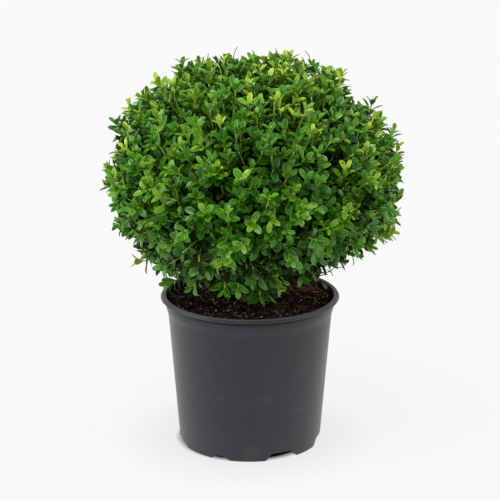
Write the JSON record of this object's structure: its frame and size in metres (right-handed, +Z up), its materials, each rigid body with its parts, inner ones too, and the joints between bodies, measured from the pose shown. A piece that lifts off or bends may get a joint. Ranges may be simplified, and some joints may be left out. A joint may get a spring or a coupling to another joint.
{
  "type": "box topiary ball in nursery pot",
  "caption": "Clipped box shrub with one dense round crown of small leaves on a short hidden stem, in a black plastic nursery pot.",
  "frame": {"origin": "middle of the circle on which the pot's feet stand, at floor level", "axes": "+Z up through the pot and crown, -Y towards the front"},
  "size_m": [0.3513, 0.3539, 0.4985],
  "materials": {
    "pot_plastic": "fine moulded texture, satin",
    "compost": "damp dark crumbs with pale grains",
    "bark": "fissured grey-brown bark",
    "foliage": "small leathery leaves, soft gloss"
  },
  "bodies": {
    "root": {"pot": "pot_plastic", "compost": "compost", "main_stem": "bark", "crown": "foliage"}
  },
  "joints": []
}
